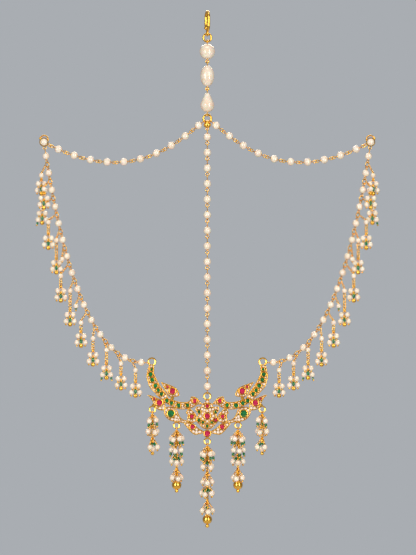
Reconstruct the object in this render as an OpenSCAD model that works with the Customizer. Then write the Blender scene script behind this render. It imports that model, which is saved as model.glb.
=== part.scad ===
// Matha patti: a bridal head jewel that hangs from a hair hook at the parting.
// A string of pearls falls to a stone-set peacock plaque, two pearl chains swing out
// to the corners, and two fringed chains come back from the corners to the plaque.
// The jewel faces -Y, hangs along -Z, and its origin is the point that the hook hangs by.

/* [Hook] */
// Thickness of the hook's wire
hook_wire = 1.5; // [1.3:0.1:1.6]
// Clear width inside the hook's bend
hook_gap = 5; // [4.8:0.1:5.4]
// Height from the hanging point down to the middle of the hook's eye
hook_drop = 10.45; // [10.4:0.05:11.5]
// Turn of the hook about the upright line
hook_turn = 13; // [0:1:20]

/* [Rings] */
// Outer diameter of the two plain rings
ring_d = 5.2; // [5.1:0.1:5.6]
// Wire thickness of the two plain rings
ring_wire = 1.04; // [0.9:0.02:1.04]

/* [Top pearls] */
// Diameter of the round pearl
round_pearl_d = 8; // [7:0.1:8.4]
// Width of the oval pearl
oval_pearl_w = 7.2; // [6.4:0.1:7.6]
// Height of the oval pearl
oval_pearl_h = 11; // [9:0.1:12]
// Width of the teardrop pearl
tear_pearl_w = 7.2; // [6.6:0.1:7.6]
// Height of the teardrop pearl
tear_pearl_h = 10.2; // [9.6:0.1:11]

/* [Centre string] */
// Number of pearls in the centre string
centre_count = 17; // [15:1:18]
// Diameter of a centre pearl
centre_pearl_d = 4; // [3.6:0.1:4.2]
// Distance from one centre pearl to the next
centre_pitch = 8.18; // [8.1:0.01:8.8]

/* [Side chains] */
// Number of pearls in each side chain
side_count = 10; // [9:1:10]
// Diameter of a side pearl
side_pearl_d = 3.95; // [3.5:0.05:4.1]
// Distance of each corner from the middle
corner_x = 85.8; // [83:0.1:88]
// Depth of each corner below the hanging point
corner_drop = 67.6; // [66:0.1:69]

/* [Fringe] */
// Number of pearls in each fringed chain
fringe_count = 15; // [15:1:15]
// Diameter of a fringe pearl
fringe_pearl_d = 3.6; // [3.3:0.1:3.8]
// Diameter of a pearl in a drop
drop_pearl_d = 2.7; // [2.3:0.1:2.8]
// Diameter of the gold ball that ends a drop
drop_ball_d = 2.4; // [2:0.1:2.6]

/* [Plaque] */
// Thickness of the plaque's back plate
plate_t = 1; // [0.8:0.1:1.2]
// Height of the raised figures above the back plate
relief_t = 0.7; // [0.5:0.1:0.9]
// Height of a stone's collet above the back plate
collet_t = 1.5; // [1.4:0.1:1.8]

/* [Tassels] */
// Diameter of a pearl in a tassel
tassel_pearl_d = 2.9; // [2.6:0.1:3]
// Diameter of the large gold balls
gold_ball_d = 5; // [4.6:0.1:5.2]

/* [Hidden] */

play = 0.1;              // gap between a loop and the loop that it hangs in
seat = 0.06;             // gap between a stone and its collet
top_wire = 0.56;         // wire of the pins through the three top pearls
pin_wire = 0.44;         // wire of the pins through the chain pearls
fine_wire = 0.4;         // wire of the fringe's pins and links
strand_wire = 0.5;       // wire of the strands in drops and tassels
shank = 0.8;             // shank of a pin as a part of its wire
stop_d = 1.25;           // ball at the hook's free end as a part of its wire
hook_leg = 5;            // straight length of the hook's free leg
drill = 0.3;             // a pearl's hole is this much wider than its pin
tip_d = 1;               // gold ball at the end of a head pin

top_eye = 0.8;           // middle radius of the eyes between the top pearls
ring_eye = 0.9;          // middle radius of an eye that holds a plain ring
chain_eye = 0.9;         // middle radius of the eyes in the centre string
side_eye = 0.95;         // middle radius of the eyes in the side chains
fringe_eye = 0.78;       // middle radius of the eyes in the fringed chains

// The middle radius of a plain ring, and where each loop hangs in the one above it
ring_r = (ring_d - ring_wire) / 2;
hook_eye_r = 1.3;
hook_eye_wire = 0.9;
function hang(bottom_wire, upper, lower) = bottom_wire + (upper + lower) / 2 + play;

hook_ring_top = hang(-hook_drop - hook_eye_r, hook_eye_wire, ring_wire);
hook_ring_z = hook_ring_top - ring_r;

round_top_eye_z = hang(hook_ring_z - ring_r, ring_wire, top_wire) - ring_eye;
round_z = round_top_eye_z - ring_eye - top_wire / 2 - play - round_pearl_d / 2;
round_low_eye_z = round_z - round_pearl_d / 2 - play - top_wire / 2 - top_eye;

oval_top_eye_z = hang(round_low_eye_z - top_eye, top_wire, top_wire) - top_eye;
oval_z = oval_top_eye_z - top_eye - top_wire / 2 - play - oval_pearl_h / 2;
oval_low_eye_z = oval_z - oval_pearl_h / 2 - play - top_wire / 2 - top_eye;

tear_top_eye_z = hang(oval_low_eye_z - top_eye, top_wire, top_wire) - top_eye;
tear_top_z = tear_top_eye_z - top_eye - top_wire / 2 - play;
tear_z = tear_top_z - tear_pearl_h + tear_pearl_w / 2;
tear_low_eye_z = tear_z - tear_pearl_w / 2 - play - top_wire / 2 - ring_eye;

junction_ring_z = tear_low_eye_z - ring_eye + top_wire / 2 + ring_wire / 2 + play - ring_r;

bead_w = 3.9;
bead_h = 3.4;
bead_cap_d = 2.5;
bead_cap_rise = 1.2;
bead_z = junction_ring_z - ring_r - bead_cap_rise;
bead_eye = 0.7;
bead_eye_drop = 0.45;    // from the bead's lowest point to the middle of its eye
bead_eye_z = bead_z - bead_h / 2 - bead_eye_drop;

centre_eye_off = centre_pearl_d / 2 + play + pin_wire / 2 + chain_eye;
first_top_wire = hang(bead_eye_z - bead_eye, pin_wire, pin_wire);
first_centre_z = first_top_wire - chain_eye - centre_eye_off;
centre_neck = centre_pitch - 2 * centre_eye_off - 2 * chain_eye + pin_wire + play;
last_centre_z = first_centre_z - (centre_count - 1) * centre_pitch;

plaque_ring_d = 4.5;
plaque_ring_wire = 0.9;
plaque_ring_r = (plaque_ring_d - plaque_ring_wire) / 2;
plaque_ring_z = hang(last_centre_z - centre_eye_off - chain_eye, pin_wire, plaque_ring_wire) - plaque_ring_r;
top_ring_at = [0, 10.4];
flower_z = plaque_ring_z - top_ring_at.y;

side_ring_at = [-29.1, 28.5];
side_ring_d = 4.8;
side_ring_wire = 0.96;
side_ring_r = (side_ring_d - side_ring_wire) / 2;

// Routes of the left chains as Bezier curves in the upright plane, [across, up]
corner_at = [-corner_x, -corner_drop];
side_route = [[0, junction_ring_z], [-13, junction_ring_z - 9.5], [-38, -93.6], corner_at];
fringe_end = [side_ring_at.x, flower_z + side_ring_at.y];
fringe_route = [corner_at, corner_at + [7, -48], fringe_end + [-34.5, -6.6], fringe_end];
route_steps = 60;

function bezier(c, t) = pow(1 - t, 3) * c[0] + 3 * pow(1 - t, 2) * t * c[1]
  + 3 * (1 - t) * t * t * c[2] + t * t * t * c[3];
function bezier_way(c, t) = 3 * (pow(1 - t, 2) * (c[1] - c[0]) + 2 * (1 - t) * t * (c[2] - c[1])
  + t * t * (c[3] - c[2]));
function route_points(c) = [for (i = [0:route_steps]) bezier(c, i / route_steps)];
function run_lengths(p) = [for (i = 0, s = 0; i < len(p); s = s + norm(p[min(i + 1, len(p) - 1)] - p[i]),
  i = i + 1) s];
function route_table(c) = let (s = run_lengths(route_points(c)))
  [for (i = [0:route_steps]) [s[i], i / route_steps]];
function at_length(c, s) = lookup(s, route_table(c));
function place(c, s) = bezier(c, at_length(c, s));
function lean(c, s) = let (w = bezier_way(c, at_length(c, s))) atan2(-w.x, -w.y);
function route_length(c) = route_table(c)[route_steps][0];

// Side chain: the first eye holds the junction ring, the last one meets the corner's eye
side_total = route_length(side_route);
side_corner_eye = 3.4;
side_corner_neck = 0.35;
side_first_eye = ring_r + side_eye - (pin_wire + ring_wire) / 2 - play;
side_overlap = 2 * side_eye - pin_wire - play;
side_pitch = (side_total - side_first_eye - side_corner_eye) / side_count;
side_eye_off = (side_pitch - side_overlap) / 2;
function side_s(i) = side_first_eye + side_eye_off + i * side_pitch;

// Fringed chain: each pair of pins is joined by the ring of a drop
fringe_total = route_length(fringe_route);
fringe_corner_eye = 3;
fringe_first_neck = 0.6;
fringe_last_neck = 0.8;
fringe_eye_off = fringe_pearl_d / 2 + play + fine_wire / 2 + fringe_eye;
fringe_first_s = fringe_corner_eye + 2 * fringe_eye - fine_wire - play + fringe_eye_off + fringe_first_neck;
fringe_end_eye = side_ring_r + fringe_eye - (fine_wire + side_ring_wire) / 2 - play;
fringe_end_gap = fringe_end_eye + fringe_eye_off + fringe_last_neck;
fringe_pitch = (fringe_total - fringe_first_s - fringe_end_gap) / (fringe_count - 1);
link_r = fringe_pitch / 2 - fringe_eye_off - fringe_eye + fine_wire + play;
function fringe_s(i) = fringe_first_s + i * fringe_pitch;

// Loops, wires, pearls and stones that repeat
module loop(radius, wire) rotate([90, 0, 0]) rotate_extrude() translate([radius, 0]) circle(d = wire);

module rod(from, to, wire) {
  way = to - from;
  translate(from) rotate([0, acos(way.z / norm(way)), atan2(way.y, way.x)]) cylinder(d = wire, h = norm(way));
}

module eye_pin(up, down, up_eye, down_eye, up_turn, down_turn, wire) {
  translate([0, 0, up]) rotate([0, 0, up_turn]) loop(up_eye, wire);
  translate([0, 0, -down]) rotate([0, 0, down_turn]) loop(down_eye, wire);
  translate([0, 0, down_eye - down]) cylinder(d = shank * wire, h = up - up_eye + down - down_eye);
}

module drilled(depth, wire) difference() {
  children();
  translate([0, 0, -depth]) cylinder(d = shank * wire + drill, h = 2 * depth);
}

module ball_pearl(d, wire) drilled(d, wire) sphere(d = d);

module on_route(route, s) {
  p = place(route, s);
  translate([p.x, 0, p.y]) rotate([0, lean(route, s), 0]) children();
}

module mirrored(side) if (side == "left") children(); else mirror([1, 0, 0]) children();

// A cut stone; its heights and its table are parts of its width
stone_below = 0.3;
stone_girdle = 0.06;
stone_crown = 0.2;
stone_table = 0.55;
stone_sunk = stone_below + stone_girdle;   // depth of a stone below its collet's edge

module stone(d, sides) {
  cylinder(d1 = stone_below * d, d2 = d, h = stone_below * d, $fn = sides);
  translate([0, 0, stone_below * d]) cylinder(d = d, h = stone_girdle * d, $fn = sides);
  translate([0, 0, stone_sunk * d]) cylinder(d1 = d, d2 = stone_table * d, h = stone_crown * d, $fn = sides);
}

// Hook, rings and top pearls
module hook() color("gold") rotate([0, 0, hook_turn]) rotate([0, 0, 90]) {
  bend = (hook_gap + hook_wire) / 2;
  leg = hook_drop - hook_eye_r - bend;
  translate([0, 0, -hook_gap / 2]) rotate([90, 0, 0])
    rotate_extrude(angle = 180) translate([bend, 0]) circle(d = hook_wire);
  translate([bend, 0, -hook_gap / 2 - hook_leg]) cylinder(d = hook_wire, h = hook_leg);
  translate([bend, 0, -hook_gap / 2 - hook_leg]) sphere(d = stop_d * hook_wire);
  translate([-bend, 0, -leg]) cylinder(d = hook_wire, h = leg - hook_gap / 2);
  translate([0, 0, -leg]) rotate([90, 0, 0])
    rotate_extrude(start = 180, angle = 90) translate([bend, 0]) circle(d = hook_wire);
  translate([0, 0, -hook_drop]) loop(hook_eye_r, hook_eye_wire);
}

module hook_ring() color("gold") translate([0, 0, hook_ring_z]) loop(ring_r, ring_wire);

module round_pearl() color("ivory") translate([0, 0, round_z]) ball_pearl(round_pearl_d, top_wire);

module round_pearl_pin() color("gold") translate([0, 0, round_z])
  eye_pin(round_top_eye_z - round_z, round_z - round_low_eye_z, ring_eye, top_eye, 90, 0, top_wire);

module oval_pearl() color("ivory") translate([0, 0, oval_z])
  drilled(oval_pearl_h, top_wire) scale([oval_pearl_w, oval_pearl_w, oval_pearl_h]) sphere(d = 1);

module oval_pearl_pin() color("gold") translate([0, 0, oval_z])
  eye_pin(oval_top_eye_z - oval_z, oval_z - oval_low_eye_z, top_eye, top_eye, 90, 0, top_wire);

tear_tip = 0.42;         // the teardrop's narrow end as a part of its width

module tear_outline() {
  body_r = tear_pearl_w / 2;
  tip_r = tear_tip * body_r;
  rise = tear_pearl_h - body_r - tip_r;
  slope = asin((body_r - tip_r) / rise);
  circle(r = body_r);
  translate([0, rise]) circle(r = tip_r);
  side = [cos(slope), sin(slope)];
  polygon([[0, 0], body_r * side, [0, rise] + tip_r * side, [0, rise]]);
}

module teardrop_pearl() color("ivory") translate([0, 0, tear_z]) drilled(tear_pearl_h, top_wire)
  rotate_extrude() intersection() {
    tear_outline();
    translate([0, -tear_pearl_h]) square([tear_pearl_w, 3 * tear_pearl_h]);
  }

module teardrop_pearl_pin() color("gold") translate([0, 0, tear_z])
  eye_pin(tear_top_eye_z - tear_z, tear_z - tear_low_eye_z, top_eye, ring_eye, 90, 90, top_wire);

module junction_ring() color("gold") translate([0, 0, junction_ring_z]) loop(ring_r, ring_wire);

module junction_bead() color("gold") {
  difference() {
    union() {
      translate([0, 0, bead_z]) scale([bead_w, bead_w, bead_h]) sphere(d = 1);
      translate([0, 0, bead_z + bead_cap_rise]) sphere(d = bead_cap_d);
    }
    translate([0, 0, junction_ring_z]) loop(ring_r, ring_wire + 2 * play);
  }
  translate([0, 0, bead_eye_z]) loop(bead_eye, pin_wire);
}

// Centre string
module centre_pearls() color("ivory") for (i = [0:centre_count - 1])
  translate([0, 0, first_centre_z - i * centre_pitch]) ball_pearl(centre_pearl_d, pin_wire);

module centre_pins() color("gold") for (i = [0:centre_count - 1])
  translate([0, 0, first_centre_z - i * centre_pitch])
    eye_pin(centre_eye_off + (i == 0 ? 0 : centre_neck), centre_eye_off, chain_eye, chain_eye,
      90, i == centre_count - 1 ? 90 : 0, pin_wire);

// Side chains
module side_pearls(side) color("ivory") mirrored(side) for (i = [0:side_count - 1])
  on_route(side_route, side_s(i)) ball_pearl(side_pearl_d, pin_wire);

module side_pins(side) color("gold") mirrored(side) for (i = [0:side_count - 1])
  on_route(side_route, side_s(i))
    eye_pin(side_eye_off, side_eye_off, side_eye, side_eye, i == 0 ? 90 : -45, 45, pin_wire);

// Corners: a pearl in a gold cup, with a loop behind it for the hair pin
corner_pearl_d = 3.9;
cup_d = 4.7;
cup_back = 2.6;
cup_lip = 0.4;
pin_loop_r = 2.1;
pin_loop_wire = 0.7;
pin_loop_rise = 1.5;
corner_ball_d = 1.3;
corner_ball_at = [-1.9, 0.2, 2];

module corner_setting(side) color("gold") mirrored(side) translate([corner_at.x, 0, corner_at.y]) {
  side_lean = lean(side_route, side_total);
  difference() {
    translate([0, cup_back, 0]) rotate([90, 0, 0]) cylinder(d = cup_d, h = cup_back + cup_lip);
    sphere(d = corner_pearl_d + 2 * play);
  }
  translate([0, cup_back, pin_loop_rise]) loop(pin_loop_r, pin_loop_wire);
  translate(corner_ball_at) sphere(d = corner_ball_d);
  rotate([0, side_lean + 180, 0]) translate([0, 0, -side_corner_eye]) {
    rotate([0, 0, 45]) loop(side_eye, pin_wire);
    translate([0, 0, side_eye]) cylinder(d = pin_wire, h = side_corner_neck);
  }
  rotate([0, lean(fringe_route, 0), 0]) translate([0, 0, -fringe_corner_eye]) loop(fringe_eye, fine_wire);
}

module corner_pearl(side) color("ivory") mirrored(side)
  translate([corner_at.x, 0, corner_at.y]) sphere(d = corner_pearl_d);

// Fringed chains
module fringe_pearls(side) color("ivory") mirrored(side) for (i = [0:fringe_count - 1])
  on_route(fringe_route, fringe_s(i)) ball_pearl(fringe_pearl_d, fine_wire);

module fringe_pins(side) color("gold") mirrored(side) for (i = [0:fringe_count - 1])
  on_route(fringe_route, fringe_s(i))
    eye_pin(fringe_eye_off + (i == 0 ? fringe_first_neck : 0),
      fringe_eye_off + (i == fringe_count - 1 ? fringe_last_neck : 0),
      fringe_eye, fringe_eye, i == 0 ? 90 : 45, i == fringe_count - 1 ? 90 : 45, fine_wire);

// Strands of the drops: the gap of the chain that carries each one, how far it stands off
// to the side and to the back, the depth of its first pearl and of its lowest point
//        gap  aside  behind first  fall
strands = [[1,  -3.2,  0.8,  5.6,  16.3],
           [2,  -3.2, -2.6,  4.0,  15.0],
           [3,  -6.0,  2.2,  5.0,  14.0],
           [4,  -4.4, -0.4,  3.8,  18.4],
           [5,  -2.2,  0.8,  4.6,  22.5],
           [6,  -1.2, -2.2,  5.7,   7.6],
           [7,  -4.5,  0,    6.0,  20.0],
           [8,  -2.4,  0.4,  5.2,  24.0],
           [9,  -2.4, -1.2,  4.8,   7.6],
           [10, -3.4,  0,    5.4,  18.6],
           [11, -1.4,  0,    5.8,  20.6],
           [12,  0.6, -2.1,  4.4,  20.2],
           [13,  1.7,  0,    5.4,  19.6],
           [14,  1.4,  0,    4.9,  19.4]];
gap = 0;
aside = 1;
behind = 2;
first = 3;
fall = 4;
upper_rise = 6.2;    // height of a cluster's upper pearls above its lowest point
lower_rise = 2.8;    // and of its lower pearls
knot_rise = 2.4;     // height of the knot that each pair of pearls hangs from
knot_d = 1.9;        // a gold knot of small links
knot_clear = 0.36;   // where a side wire starts, as a part of the knot's width
upper_spread = 1.75; // distance of a cluster's upper pearls from its wire
lower_spread = 2.2;  // and of its lower pearls
upper_turn = 20;     // turn of the upper pair about the wire
long_strand = 12;    // a strand with less fall than this has one pearl and no cluster

module half_disc(d) intersection() {
  circle(d = d);
  translate([0, -d / 2]) square(d);
}

// A wire down the middle with beads on it, each given as [height, diameter]
module spine(top, beads) {
  low = min([for (b = beads) b[0]]);
  rotate_extrude() {
    translate([0, low]) square([strand_wire / 2, top - low]);
    for (b = beads) translate([0, b[0]]) half_disc(b[1]);
  }
}

// A bead on a wire that leaves a knot; the wire starts clear of the knot's other wires
module hung_bead(knot, bead, size) {
  way = bead - knot;
  reach = norm(way);
  start = knot_clear * knot_d;
  translate(knot) rotate([0, acos(way.z / reach), atan2(way.y, way.x)]) rotate_extrude() {
    translate([0, start]) square([strand_wire / 2, reach - start]);
    translate([0, reach]) half_disc(size);
  }
}

module pearl_tier(knot_z, bead_z, spread, count, turn, size) for (i = [0:count - 1])
  let (a = turn + i * 360 / count)
    hung_bead([0, 0, knot_z], [spread * cos(a), spread * sin(a), bead_z], size);

// The point of a drop's ring, on its outer side, that the strand hangs from
function link_point(tilt) = link_r * cos(45) * [-cos(tilt), 1, sin(tilt)];

module drop_strand(row, tilt) {
  elbow = [row[aside], row[behind], -row[first]];
  is_long = row[fall] > long_strand;
  upper_knot = upper_rise + knot_rise - row[fall];
  lower_knot = lower_rise + knot_rise - row[fall];
  rod(link_point(tilt), elbow, strand_wire);
  translate([row[aside], row[behind], 0]) {
    spine(-row[first], is_long
      ? [[-row[first], drop_pearl_d], [upper_knot, knot_d], [lower_knot, knot_d],
         [drop_ball_d / 2 - row[fall], drop_ball_d]]
      : [[-row[first], drop_pearl_d], [tip_d / 2 - row[fall], tip_d]]);
    if (is_long) {
      pearl_tier(upper_knot, upper_rise - row[fall], upper_spread, 2, upper_turn, drop_pearl_d);
      pearl_tier(lower_knot, lower_rise - row[fall], lower_spread, 2, 0, drop_pearl_d);
    }
  }
}

module fringe_drops(side) color("gold") mirrored(side) for (row = strands) {
  s = (fringe_s(row[gap] - 1) + fringe_s(row[gap])) / 2;
  tilt = lean(fringe_route, s);
  p = place(fringe_route, s);
  translate([p.x, 0, p.y]) {
    rotate([0, tilt, 0]) rotate([0, 0, -45]) loop(link_r, fine_wire);
    drop_strand(row, tilt);
  }
}

// Plaque, in its own plane around the flower's middle, [across, up]; the left half is drawn
tail_outline = [[-30.5, 26.7], [-31.6, 23], [-31.9, 20.5], [-31.2, 18], [-30.3, 15.2], [-27.9, 12.6],
  [-25.6, 10.2], [-23, 8.2], [-20.4, 8.4], [-21.3, 11.3], [-22.7, 13.3], [-24.3, 15.4], [-25.8, 17.8],
  [-27.1, 20.4], [-28, 23], [-27.9, 26.7]];
body_outline = [[-23.4, 9.4], [-20.6, 9.2], [-17.4, 8.3], [-15.6, 7.7], [-13, 7.3], [-10.3, 7.5],
  [-8.9, 8.6], [-8.6, 10.2], [-6.8, 10.1], [-5.2, 9.4], [-4.2, 8.1], [-2.6, 6.2], [-4.4, 6.2],
  [-5.6, 5.8], [-7.4, 4.6], [-9.3, 3.9], [-11.9, 3.5], [-14.5, 3.6], [-16.8, 4.2], [-19.2, 5.3],
  [-21.4, 6.6], [-23.6, 7.6]];
paisley_outline = [[-22.8, 2.6], [-22.3, 0.5], [-21.1, -1.2], [-19.5, -2.3], [-17.6, -2.9], [-15, -3.2],
  [-12.5, -3.6], [-10.4, -4.1], [-9.8, -2.7], [-12.4, -2], [-14.2, -0.6], [-15.2, 1.5], [-16.4, 3.8],
  [-19.2, 4.9], [-21.6, 4.6]];
bud_outline = [[-9.6, 4.2], [-11.3, 1.7], [-10.3, 0.8], [-10.5, -1.1], [-10.2, -3], [-8.2, -3.7],
  [-6.2, -2.9], [-5.2, -1.4], [-6.1, 1], [-7.6, 2.6]];
upper_leaf_outline = [[-24.4, 17.9], [-22.6, 17.3], [-20.1, 16.5], [-17.5, 15.4], [-15.7, 13.9],
  [-14.7, 11.8], [-15.1, 10.4], [-17.5, 10.1], [-19.5, 9.9], [-20.8, 11.2], [-21.9, 13.1], [-23, 15.4]];
lower_leaf_outline = [[-31.3, 11.1], [-29.2, 10.7], [-26.9, 9.7], [-24.8, 8.9], [-23, 7.6], [-22, 5.8],
  [-22.3, 3.2], [-24.3, 3], [-26.4, 3.7], [-27.7, 5.3], [-28.7, 7.6], [-29.9, 9.6]];
bottom_leaf_outline = [[-12.2, -4], [-11.2, -3.4], [-9.2, -3.5], [-6.6, -4.6], [-4.4, -6.6], [-1.4, -8.2],
  [-1.4, -8.8], [-4.3, -9.5], [-6.6, -9.8], [-8.7, -8.3], [-10.5, -6.2]];
flower_left = [[0, 7.2], [-2.5, 6.5], [-3.2, 4.6], [-5.9, 5], [-5.9, 2.6], [-4.6, 0.9], [-5.9, -1.2],
  [-5.6, -3], [-4.2, -4.4], [-2.6, -6.2], [0, -7]];
rim_w = 0.55;
back_recess = 0.15;   // the figures' walls stand proud of the plate at the back too
smooth_steps = 2;

// A closed curve through the given points
function spline_point(a, b, c, d, t) = 0.5 * (2 * b + (c - a) * t + (2 * a - 5 * b + 4 * c - d) * t * t
  + (3 * b - a - 3 * c + d) * t * t * t);
function smooth(p) = let (n = len(p)) [for (i = [0:n - 1], k = [0:smooth_steps - 1])
  spline_point(p[(i + n - 1) % n], p[i], p[(i + 1) % n], p[(i + 2) % n], k / smooth_steps)];

figures = [tail_outline, body_outline, paisley_outline, bud_outline,
  upper_leaf_outline, lower_leaf_outline, bottom_leaf_outline];
flower_right = [for (i = [len(flower_left) - 2:-1:1]) [-flower_left[i].x, flower_left[i].y]];
flower_outline = concat(flower_left, flower_right);

// Stones of the left half and of the middle line, each as [across, up, width]
upper_leaf_ruby = [-18.3, 13.1, 3.1];
lower_leaf_ruby = [-25.2, 6.9, 3.1];
bottom_leaf_ruby = [-7.8, -5.6, 2.5];
head_ruby = [-6.6, 7.9, 2.3];
bud_ruby = [-8.1, -0.2, 2.2];
flower_ruby = [0, 0, 2.9];
flower_top_ruby = [0, 5.3, 1.9];
flower_side_ruby = [4.4, -2.1, 1.5];
pendant_ruby = [0, -9.2, 3.1];
leaf_rubies = [[-20.9, 15.4, 1.3], [-27.9, 9.1, 1.3]];
large_emerald = [-19.1, 1.3, 3.6];
tail_emeralds = [[-29.3, 24.5, 1.4], [-29.7, 21.9, 2.1], [-28.9, 19, 2.2], [-27.2, 15.9, 2.1],
  [-25.7, 13.6, 1.9], [-24, 11.6, 1.9]];
breast_emeralds = [[-21.2, 8.1, 1.9], [-18.7, 6.8, 2], [-15.1, 5.6, 2.2], [-10.4, 5.7, 2]];
flower_emeralds = [[-4.3, 2.3, 1.5], [-4.4, -2.1, 1.5], [-2.3, -3.3, 1.3]];
low_emerald = [0, -5.1, 1.5];
petals = 6;
petal_off = 2.75;
petal_d = 1.3;
// Seats of the small white stones
white_seats = [[-30.7, 20.2, 0.9], [-27.4, 17.9, 0.8], [-16.6, 7, 0.8], [-13.1, 5.4, 1], [-8.1, 6.1, 0.9],
  [-9.9, 2.4, 0.9], [-8.4, -2.4, 0.9], [-14.6, -2, 0.9], [-2.1, 5.3, 1.1], [-4.4, 4.1, 1.1], [-2, -5, 1.1]];
top_white = [0, 7.5, 1.2];
collet_wall = 0.4;

module on_plaque(at = [0, 0]) translate([at.x, 0, flower_z + at.y]) rotate([90, 0, 0]) children();
module both_halves() {
  children();
  mirror([1, 0, 0]) children();
}

wire_sides = 5;
large_stone = 1.8;   // stones wider than this have a collet with more sides
collet_turn = 7;
white_turn = 17;
white_foot = 0.9;    // a white stone's seat is this much wider at its foot
white_edge = 0.3;    // and this much wider at its edge
white_rise = 0.2;    // height of its edge above the relief
function collet_sides(at) = at.z > large_stone ? 9 : 6;

// A collet with a pit for its stone
module collet(at) difference() {
  sides = collet_sides(at);
  edge = plate_t / 2 + collet_t;
  translate([at.x, at.y, 0]) rotate(collet_turn) hull() {
    cylinder(d = at.z + 3 * collet_wall, h = plate_t / 4, $fn = sides);
    cylinder(d = at.z + 2 * collet_wall, h = edge, $fn = sides);
  }
  translate([at.x, at.y, edge - stone_sunk * at.z - seat]) rotate(collet_turn)
    cylinder(d = (at.z + 2 * seat) / cos(180 / sides), h = at.z, $fn = sides);
}

module white_seat(at) translate([at.x, at.y, 0]) rotate(white_turn)
  cylinder(d1 = at.z + white_foot, d2 = at.z + white_edge, h = plate_t / 2 + relief_t + white_rise, $fn = 6);

module set_stone(at, sides) on_plaque(at)
  translate([0, 0, plate_t / 2 + collet_t - stone_sunk * at.z]) stone(at.z, sides);

left_stones = concat([upper_leaf_ruby, lower_leaf_ruby, bottom_leaf_ruby, head_ruby, bud_ruby, large_emerald],
  leaf_rubies, tail_emeralds, breast_emeralds, flower_emeralds);
middle_stones = [flower_ruby, flower_top_ruby, pendant_ruby, low_emerald];
petal_seats = [for (i = [0:petals - 1]) let (a = 90 + i * 360 / petals)
  [petal_off * cos(a), petal_off * sin(a), petal_d]];

tassel_ring_d = 4;
tassel_ring_wire = 0.8;
tassel_ring_r = (tassel_ring_d - tassel_ring_wire) / 2;
outer_tassel_at = [-28.8, 3.5];
inner_tassel_at = [-16.1, -4.9];
centre_tassel_at = [0, -13.3];

module soldered_ring(at, radius, wire) translate([at.x, at.y, 0])
  rotate_extrude($fn = 12) translate([radius, 0]) circle(d = wire, $fn = wire_sides);

// Small discs of plate that join one figure to the next, [across, up, width]
side_bridges = [[-28.3, 5.6, 1.8], [-5.5, -1.6, 1.6], [-18.4, 9.4, 2]];
pendant_tip = [[-1.9, -9.8], [1.9, -9.8], [0, -12.2]];
side_margin = 0.8;
middle_margin = 1;

module discs(list, margin) for (at = list) translate([at.x, at.y]) circle(d = at.z + margin, $fn = 8);

module plate_shape() {
  both_halves() {
    for (outline = figures) offset(delta = -rim_w / 2) polygon(smooth(outline));
    discs(white_seats, side_margin);
    discs(side_bridges, 0);
  }
  offset(delta = -rim_w / 2) polygon(smooth(flower_outline));
  discs([pendant_ruby, top_white], middle_margin);
  polygon(pendant_tip);
}

// Raised rims along the outlines, open where a stone sits
module rims(outlines) difference() {
  for (outline = outlines) polygon(smooth(outline));
  for (outline = outlines) offset(delta = -rim_w) polygon(smooth(outline));
  for (at = left_stones) translate([at.x, at.y]) circle(d = at.z + collet_wall, $fn = 6);
}

module plaque() color("gold") on_plaque() {
  translate([0, 0, back_recess - plate_t / 2]) linear_extrude(plate_t - back_recess) plate_shape();
  translate([0, 0, -plate_t / 2]) linear_extrude(plate_t + relief_t) {
    both_halves() rims(figures);
    rims([flower_outline]);
  }
  both_halves() {
    for (at = left_stones) collet(at);
    for (at = white_seats) white_seat(at);
    soldered_ring(side_ring_at, side_ring_r, side_ring_wire);
    soldered_ring(outer_tassel_at, tassel_ring_r, tassel_ring_wire);
    soldered_ring(inner_tassel_at, tassel_ring_r, tassel_ring_wire);
  }
  for (at = middle_stones) collet(at);
  for (at = concat(petal_seats, [top_white])) white_seat(at);
  soldered_ring(top_ring_at, plaque_ring_r, plaque_ring_wire);
  soldered_ring(centre_tassel_at, tassel_ring_r, tassel_ring_wire);
}

// Tassels: an eye in the plaque's ring and a wire with tiers of pearls round it.
// Tiers are [depth of the knot, depth of the pearls, spread, count, turn]; beads on the
// wire are [depth, diameter]; depths are below the middle of the ring
outer_tiers = [[3.4, 5.6, 2.2, 3, 100], [8.9, 11.6, 2.7, 4, 30], [17.2, 19.8, 2.6, 3, 0]];
outer_beads = [[8.9, 2.4], [20.9, 3], [23.1, 1.9]];
inner_tiers = [[4.4, 7, 3, 5, 15], [9.7, 12.9, 2.8, 5, 40], [16.2, 19, 2.6, 4, 0], [25, 27.5, 2.5, 4, 20]];
inner_beads = [[9.7, 2.4], [20.6, 3.2], [31.3, gold_ball_d], [34.4, 1.9]];
centre_tiers = [[4, 6.6, 3, 5, 15], [9.2, 13.2, 3, 4, 40], [18.4, 21.3, 2.4, 4, 0], [24.4, 27.3, 3, 5, 30],
  [33.6, 36.4, 2.7, 4, 10]];
centre_beads = [[9.2, 2.4], [23, 3], [41, gold_ball_d], [44.4, 2]];
tassel_eye = 0.85;

module tassel(at, tiers, beads) {
  knots = [for (t = tiers) [-t[0], knot_d]];
  on_wire = [for (b = beads) [-b[0], b[1]]];
  eye_top = play + (tassel_ring_wire + strand_wire) / 2 - tassel_ring_r;
  translate([at.x, 0, flower_z + at.y]) {
    translate([0, 0, eye_top - tassel_eye]) rotate([0, 0, 90]) loop(tassel_eye, strand_wire);
    spine(eye_top - 2 * tassel_eye, concat(knots, on_wire));
    for (t = tiers) pearl_tier(-t[0], -t[1], t[2], t[3], t[4], tassel_pearl_d);
  }
}

module tassel_outer(side) color("gold") mirrored(side) tassel(outer_tassel_at, outer_tiers, outer_beads);
module tassel_inner(side) color("gold") mirrored(side) tassel(inner_tassel_at, inner_tiers, inner_beads);
module tassel_centre() color("gold") tassel(centre_tassel_at, centre_tiers, centre_beads);

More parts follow.
